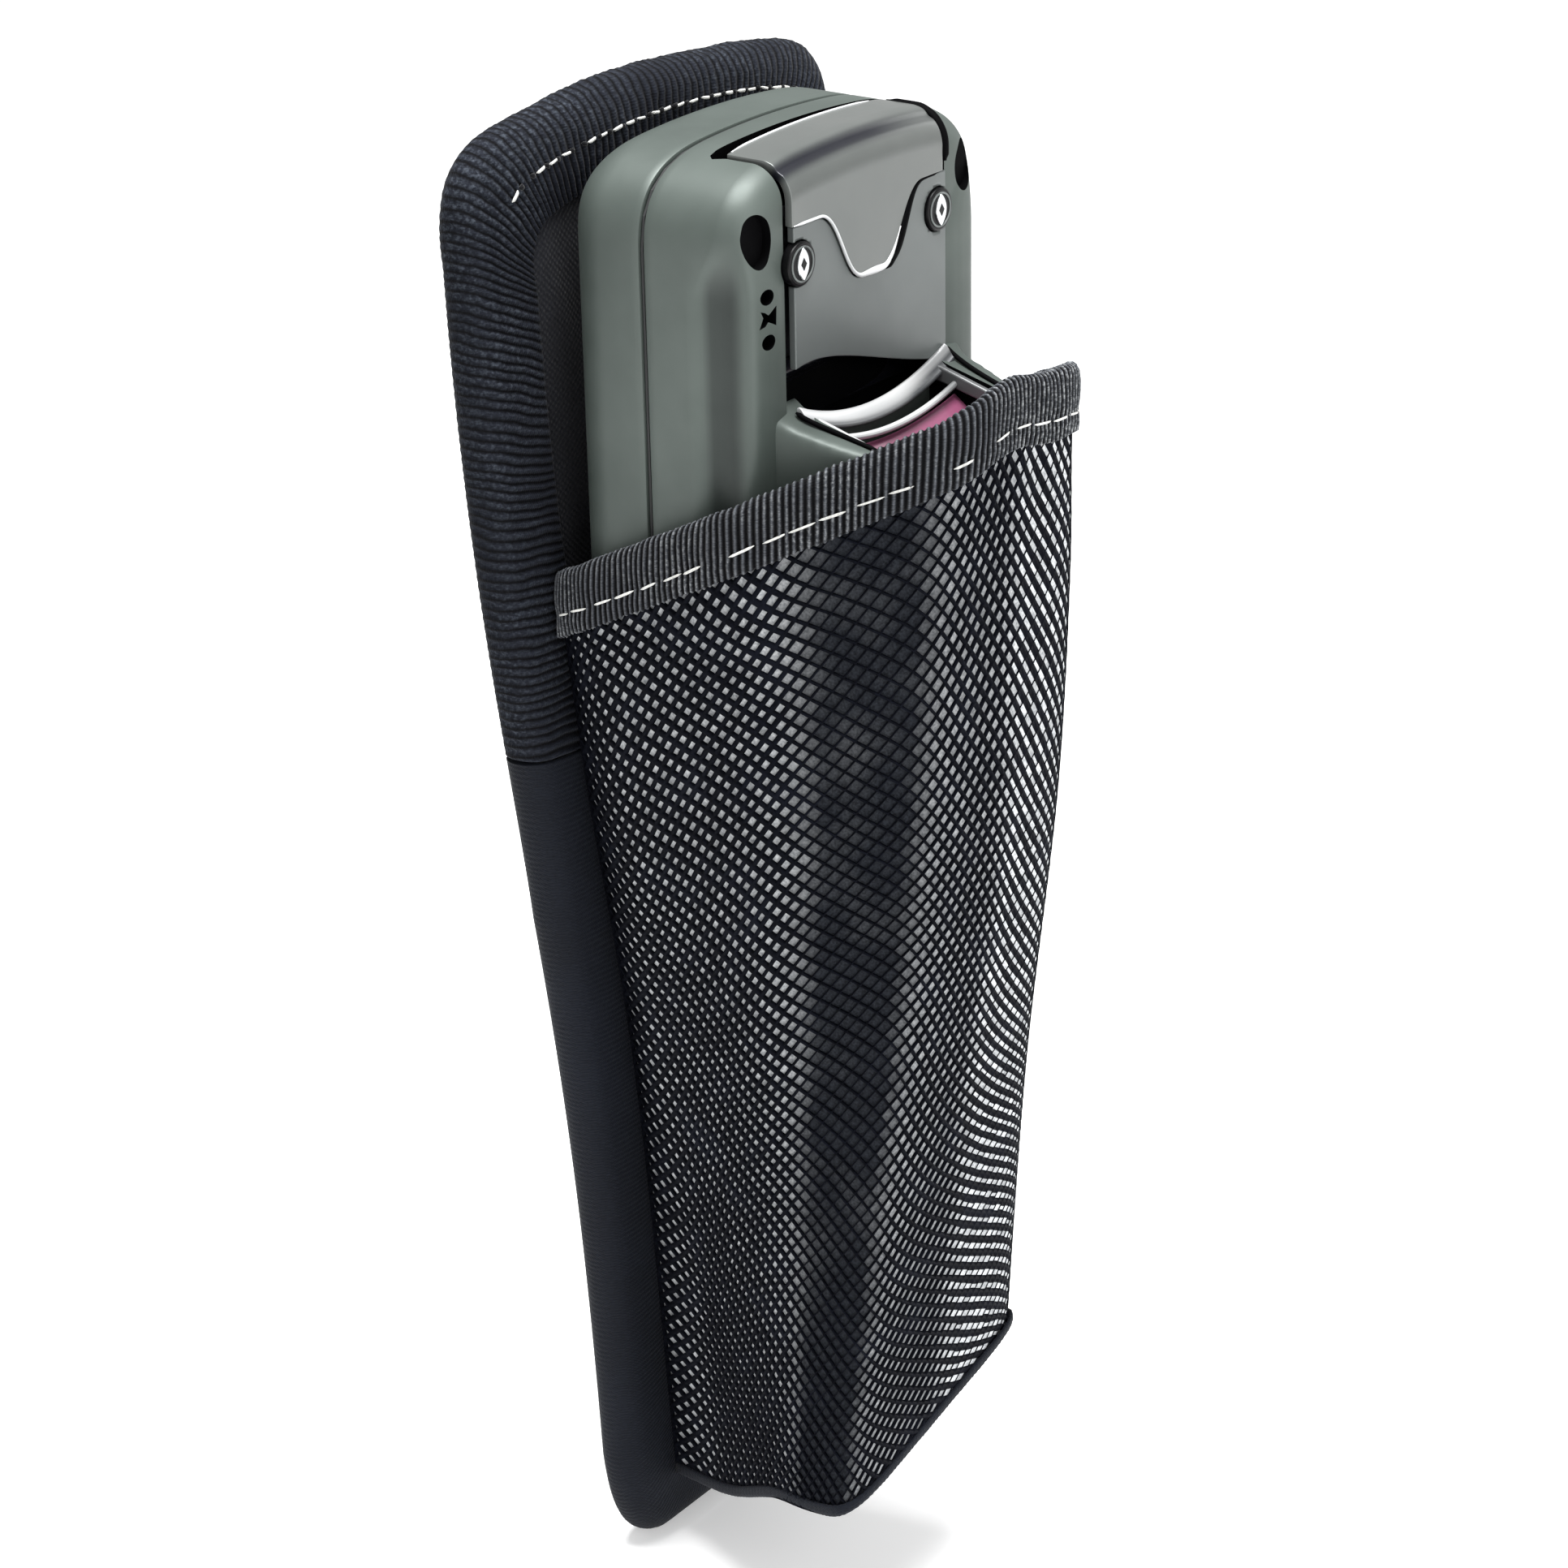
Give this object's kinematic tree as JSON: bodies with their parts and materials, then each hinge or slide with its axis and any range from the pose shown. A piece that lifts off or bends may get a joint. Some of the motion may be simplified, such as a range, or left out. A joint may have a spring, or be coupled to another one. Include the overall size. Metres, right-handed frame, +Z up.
{
  "type": "personal digital assistant",
  "caption": "Rugged grey handheld computer with a scanner hood and a locked battery door, standing in a padded belt holster with a mesh pouch.",
  "frame": {"origin": "in the middle of the belt loop's flat outer face, which lies against the wearer", "axes": "+Z up along the holster, -Y towards the front of the pouch, +Y towards the wearer, +X to the right seen from the front"},
  "size_m": [0.117, 0.102, 0.3335],
  "materials": {
    "nylon_cloth": "matte woven nylon",
    "smooth_tape": "smooth nylon binding with a faint grain",
    "lining_cloth": "soft brushed cloth",
    "ribbed_tape": "ribbed grosgrain tape",
    "mesh_cloth": "black diamond net over grey cloth",
    "foam": "closed foam padding",
    "board": "rigid plastic board",
    "case_plastic": "satin grey-green plastic",
    "door_plastic": "satin grey plastic",
    "cap_plastic": "polished silver-grey plastic",
    "black_rubber": "matte black rubber",
    "display_glass": "dark display window",
    "black_plastic": "black moulded plastic",
    "circuit_board": "green circuit board",
    "speaker_metal": "plain metal can",
    "bright_trim": "bright silver trim",
    "scan_glass": "rose tinted scan window",
    "screw_steel": "dark steel",
    "lock_metal": "satin metal",
    "key_rubber": "soft dark keys"
  },
  "bodies": {
    "holster": {"back_cover": "nylon_cloth", "stiffener_board": "board", "foam_core": "foam", "lining": "lining_cloth", "edge_binding_upper": "ribbed_tape", "edge_binding_lower": "smooth_tape", "belt_loop": "ribbed_tape", "pouch_floor": "nylon_cloth", "pouch_side_left": "mesh_cloth", "pouch_corner_left": "mesh_cloth", "pouch_front": "mesh_cloth", "pouch_corner_right": "mesh_cloth", "pouch_side_right": "mesh_cloth", "rim_binding_side_left": "ribbed_tape", "rim_binding_corner_left": "ribbed_tape", "rim_binding_front": "ribbed_tape", "rim_binding_corner_right": "ribbed_tape", "rim_binding_side_right": "ribbed_tape"},
    "computer": {"front_housing": "case_plastic", "rear_housing": "case_plastic", "seam_gasket": "black_rubber", "display_window": "display_glass", "display_module": "black_plastic", "keypad_membrane": "black_rubber", "main_board": "circuit_board", "battery_pack": "black_plastic", "antenna_board": "circuit_board", "dock_connector": "black_plastic", "speaker": "speaker_metal", "scan_hood": "case_plastic", "scan_bezel": "bright_trim", "scan_window": "scan_glass", "scan_engine": "black_plastic", "scoop_liner": "black_rubber", "housing_screw_upper_left": "screw_steel", "housing_screw_upper_right": "screw_steel", "housing_screw_lower_left": "screw_steel", "housing_screw_lower_right": "screw_steel"},
    "battery_door": {"battery_door": "door_plastic", "door_cap": "cap_plastic"},
    "door_lock_left": {"door_lock_left": "lock_metal"},
    "door_lock_right": {"door_lock_right": "lock_metal"},
    "nav_pad": {"nav_pad": "key_rubber"},
    "key_power": {"key_power": "key_rubber"},
    "key_function": {"key_function": "key_rubber"},
    "key_scan": {"key_scan": "key_rubber"},
    "key_row1_column1": {"key_row1_column1": "key_rubber"},
    "key_row1_column2": {"key_row1_column2": "key_rubber"},
    "key_row1_column3": {"key_row1_column3": "key_rubber"},
    "key_row2_column1": {"key_row2_column1": "key_rubber"},
    "key_row2_column2": {"key_row2_column2": "key_rubber"},
    "key_row2_column3": {"key_row2_column3": "key_rubber"},
    "key_row3_column1": {"key_row3_column1": "key_rubber"},
    "key_row3_column2": {"key_row3_column2": "key_rubber"},
    "key_row3_column3": {"key_row3_column3": "key_rubber"},
    "key_row4_column1": {"key_row4_column1": "key_rubber"},
    "key_row4_column2": {"key_row4_column2": "key_rubber"},
    "key_row4_column3": {"key_row4_column3": "key_rubber"}
  },
  "joints": [
    {"name": "computer_slide", "type": "slide", "parent": "holster", "child": "computer", "axis": [0, 0, 1], "range_m": [0, 0.14]},
    {"name": "battery_door_off", "type": "slide", "parent": "computer", "child": "battery_door", "axis": [0, -1, 0], "range_m": [0, 0.012]},
    {"name": "door_lock_left_turn", "type": "hinge", "parent": "battery_door", "child": "door_lock_left", "pos_m": [-0.0229, -0.0642, 0.0537], "axis": [0, -1, 0], "range_deg": [0, 90]},
    {"name": "door_lock_right_turn", "type": "hinge", "parent": "battery_door", "child": "door_lock_right", "pos_m": [0.0229, -0.0642, 0.0537], "axis": [0, -1, 0], "range_deg": [-90, 0]},
    {"name": "nav_pad_press", "type": "slide", "parent": "computer", "child": "nav_pad", "axis": [0, -1, 0], "range_m": [0, 0.0008], "stiffness_N_per_m": 500, "springref_m": -0.001},
    {"name": "key_power_press", "type": "slide", "parent": "computer", "child": "key_power", "axis": [0, -1, 0], "range_m": [0, 0.0008], "stiffness_N_per_m": 500, "springref_m": -0.001},
    {"name": "key_function_press", "type": "slide", "parent": "computer", "child": "key_function", "axis": [0, -1, 0], "range_m": [0, 0.0008], "stiffness_N_per_m": 500, "springref_m": -0.001},
    {"name": "key_scan_press", "type": "slide", "parent": "computer", "child": "key_scan", "axis": [0, -1, 0], "range_m": [0, 0.0008], "stiffness_N_per_m": 500, "springref_m": -0.001},
    {"name": "key_row1_column1_press", "type": "slide", "parent": "computer", "child": "key_row1_column1", "axis": [0, -1, 0], "range_m": [0, 0.0008], "stiffness_N_per_m": 500, "springref_m": -0.001},
    {"name": "key_row1_column2_press", "type": "slide", "parent": "computer", "child": "key_row1_column2", "axis": [0, -1, 0], "range_m": [0, 0.0008], "stiffness_N_per_m": 500, "springref_m": -0.001},
    {"name": "key_row1_column3_press", "type": "slide", "parent": "computer", "child": "key_row1_column3", "axis": [0, -1, 0], "range_m": [0, 0.0008], "stiffness_N_per_m": 500, "springref_m": -0.001},
    {"name": "key_row2_column1_press", "type": "slide", "parent": "computer", "child": "key_row2_column1", "axis": [0, -1, 0], "range_m": [0, 0.0008], "stiffness_N_per_m": 500, "springref_m": -0.001},
    {"name": "key_row2_column2_press", "type": "slide", "parent": "computer", "child": "key_row2_column2", "axis": [0, -1, 0], "range_m": [0, 0.0008], "stiffness_N_per_m": 500, "springref_m": -0.001},
    {"name": "key_row2_column3_press", "type": "slide", "parent": "computer", "child": "key_row2_column3", "axis": [0, -1, 0], "range_m": [0, 0.0008], "stiffness_N_per_m": 500, "springref_m": -0.001},
    {"name": "key_row3_column1_press", "type": "slide", "parent": "computer", "child": "key_row3_column1", "axis": [0, -1, 0], "range_m": [0, 0.0008], "stiffness_N_per_m": 500, "springref_m": -0.001},
    {"name": "key_row3_column2_press", "type": "slide", "parent": "computer", "child": "key_row3_column2", "axis": [0, -1, 0], "range_m": [0, 0.0008], "stiffness_N_per_m": 500, "springref_m": -0.001},
    {"name": "key_row3_column3_press", "type": "slide", "parent": "computer", "child": "key_row3_column3", "axis": [0, -1, 0], "range_m": [0, 0.0008], "stiffness_N_per_m": 500, "springref_m": -0.001},
    {"name": "key_row4_column1_press", "type": "slide", "parent": "computer", "child": "key_row4_column1", "axis": [0, -1, 0], "range_m": [0, 0.0008], "stiffness_N_per_m": 500, "springref_m": -0.001},
    {"name": "key_row4_column2_press", "type": "slide", "parent": "computer", "child": "key_row4_column2", "axis": [0, -1, 0], "range_m": [0, 0.0008], "stiffness_N_per_m": 500, "springref_m": -0.001},
    {"name": "key_row4_column3_press", "type": "slide", "parent": "computer", "child": "key_row4_column3", "axis": [0, -1, 0], "range_m": [0, 0.0008], "stiffness_N_per_m": 500, "springref_m": -0.001}
  ]
}
